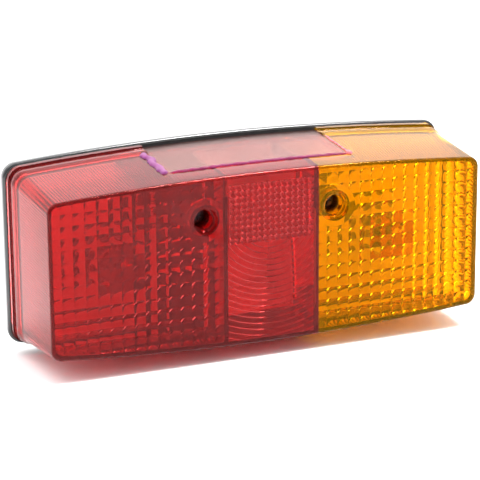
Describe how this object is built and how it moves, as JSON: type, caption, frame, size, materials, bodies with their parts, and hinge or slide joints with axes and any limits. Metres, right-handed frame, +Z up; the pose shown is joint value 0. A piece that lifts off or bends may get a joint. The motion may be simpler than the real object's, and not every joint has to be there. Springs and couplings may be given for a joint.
{
  "type": "trailer rear light",
  "caption": "Right-hand trailer rear light: black housing, red and amber lens with prism optics, reflex reflector, number-plate window and replaceable bulbs.",
  "frame": {"origin": "centre of the flat back face of the housing, where it bolts to the vehicle", "axes": "+X along the light to the right as seen from the front (towards the amber end), +Y out of the back into the vehicle, +Z up towards the number-plate window; the lens faces -Y"},
  "size_m": [0.24, 0.0807, 0.1034],
  "materials": {
    "housing_black": "moulded black plastic, semi-gloss on the rim",
    "gasket_rubber": "matt black rubber",
    "lens_red_plastic": "polished transparent red moulding with moulded-in optics",
    "lens_amber_plastic": "polished transparent amber moulding with moulded-in optics",
    "window_clear_plastic": "clear plastic pane, slightly tinted by what is behind",
    "reflector_white": "bright white moulded plastic",
    "screw_steel": "black-zinc screw",
    "zinc_steel": "bright zinc plate",
    "phenolic_brown": "brown phenolic",
    "contact_brass": "plain brass strip",
    "bulb_cap_metal": "nickel-plated brass cap",
    "solder_grey": "dull solder",
    "bulb_glass_clear": "clear thin glass",
    "bulb_glass_amber": "amber-tinted thin glass",
    "filament_metal": "tungsten wire on a glass stem",
    "weld_purple": "irregular bead of purple solvent cement"
  },
  "bodies": {
    "housing": {"base_housing": "housing_black", "lens_gasket": "gasket_rubber", "stud_left": "zinc_steel", "stud_right": "zinc_steel", "cable_grommet": "gasket_rubber", "reflector_stop": "reflector_white", "reflector_indicator": "reflector_white", "reflector_centre": "reflector_white", "stop_holder_sleeve": "zinc_steel", "stop_holder_insulator": "phenolic_brown", "stop_holder_contact": "contact_brass", "indicator_holder_sleeve": "zinc_steel", "indicator_holder_insulator": "phenolic_brown", "indicator_holder_contact": "contact_brass", "festoon_clip_left": "contact_brass", "festoon_clip_right": "contact_brass", "terminal_block": "housing_black", "earth_strip": "contact_brass", "terminal_screw_1": "zinc_steel", "terminal_screw_2": "zinc_steel", "terminal_screw_3": "zinc_steel", "terminal_screw_4": "zinc_steel"},
    "lens": {"lens_red": "lens_red_plastic", "lens_amber": "lens_amber_plastic", "plate_window": "window_clear_plastic", "reflex_backing": "reflector_white", "weld_bead_left": "weld_purple", "weld_bead_front": "weld_purple", "weld_bead_right": "weld_purple"},
    "lens_screw_left": {"screw_left": "screw_steel", "screw_washer_left": "gasket_rubber"},
    "lens_screw_right": {"screw_right": "screw_steel", "screw_washer_right": "gasket_rubber"},
    "stop_bulb": {"stop_bulb_cap": "bulb_cap_metal", "stop_bulb_contact": "solder_grey", "stop_bulb_glass": "bulb_glass_clear", "stop_bulb_filament": "filament_metal"},
    "indicator_bulb": {"indicator_bulb_cap": "bulb_cap_metal", "indicator_bulb_contact": "solder_grey", "indicator_bulb_glass": "bulb_glass_amber", "indicator_bulb_filament": "filament_metal"},
    "festoon_lamp": {"festoon_glass": "bulb_glass_clear", "festoon_cap_left": "bulb_cap_metal", "festoon_cap_right": "bulb_cap_metal", "festoon_filament": "filament_metal"}
  },
  "joints": [
    {"name": "lens_lift", "type": "slide", "parent": "housing", "child": "lens", "axis": [0, -1, 0], "range_m": [0, 0.08]},
    {"name": "screw_travel_left", "type": "slide", "parent": "lens", "child": "lens_screw_left", "axis": [0, -1, 0], "range_m": [0, 0.0202]},
    {"name": "screw_travel_right", "type": "slide", "parent": "lens", "child": "lens_screw_right", "axis": [0, -1, 0], "range_m": [0, 0.0202]},
    {"name": "stop_bulb_twist", "type": "hinge", "parent": "housing", "child": "stop_bulb", "pos_m": [-0.074, -0.015, -0.002], "axis": [0, -1, 0], "range_deg": [0, 20]},
    {"name": "indicator_bulb_twist", "type": "hinge", "parent": "housing", "child": "indicator_bulb", "pos_m": [0.074, -0.015, -0.002], "axis": [0, -1, 0], "range_deg": [0, 20]},
    {"name": "festoon_pull", "type": "slide", "parent": "housing", "child": "festoon_lamp", "axis": [0, -1, 0], "range_m": [0, 0.018]}
  ]
}
